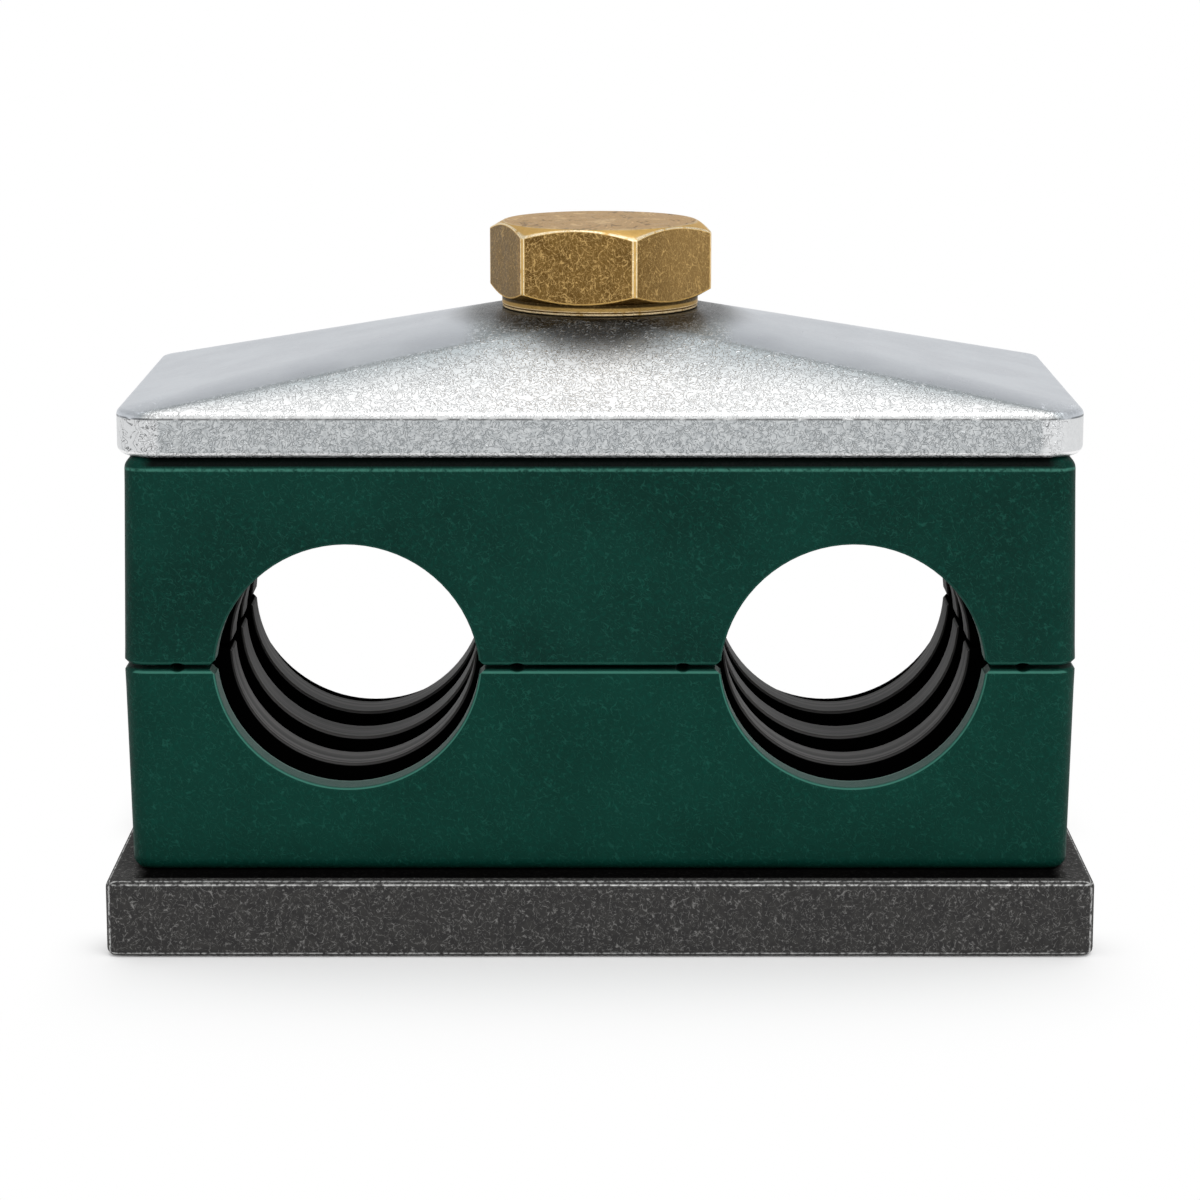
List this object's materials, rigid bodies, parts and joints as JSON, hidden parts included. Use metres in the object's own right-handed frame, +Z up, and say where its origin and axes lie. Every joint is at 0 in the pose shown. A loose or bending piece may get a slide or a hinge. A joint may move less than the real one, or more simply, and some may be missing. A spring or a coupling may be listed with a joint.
{
  "type": "hydraulic tube clamp",
  "caption": "Twin tube clamp: green plastic halves with ribbed inserts on a steel weld plate, closed by a pyramid cover plate and a hexagon bolt.",
  "frame": {"origin": "middle of the weld plate's underside", "axes": "+X along the clamp's length, across both tubes; +Y along the tubes, to the back; +Z up through the bolt"},
  "size_m": [0.0628, 0.0344, 0.0452],
  "materials": {
    "blackened_steel": "blackened flat steel, dull, lightly scratched",
    "nut_steel": "plain steel",
    "clamp_plastic": "dark green moulded plastic, fine satin grain",
    "insert_elastomer": "black moulded elastomer",
    "zinc_plate": "zinc plated, mottled",
    "bolt_brass": "aged brass, worn bright edges"
  },
  "bodies": {
    "base": {"weld_plate": "blackened_steel", "weld_nut": "nut_steel", "lower_clamp_half": "clamp_plastic", "lower_left_insert": "insert_elastomer", "lower_right_insert": "insert_elastomer"},
    "clamp_top": {"upper_clamp_half": "clamp_plastic", "upper_left_insert": "insert_elastomer", "upper_right_insert": "insert_elastomer", "cover_plate": "zinc_plate"},
    "bolt": {"hex_bolt": "bolt_brass"}
  },
  "joints": [
    {"name": "clamp_lift", "type": "slide", "parent": "base", "child": "clamp_top", "axis": [0, 0, 1], "range_m": [0, 0.00625]},
    {"name": "bolt_turn", "type": "hinge", "parent": "clamp_top", "child": "bolt", "pos_m": [0, 0, 0.0415], "axis": [0, 0, 1], "range_deg": [0, 1800]}
  ],
  "couplings": [
    {"joint": "bolt_turn", "follows": "clamp_lift", "rad_per_m": 5026.5}
  ]
}
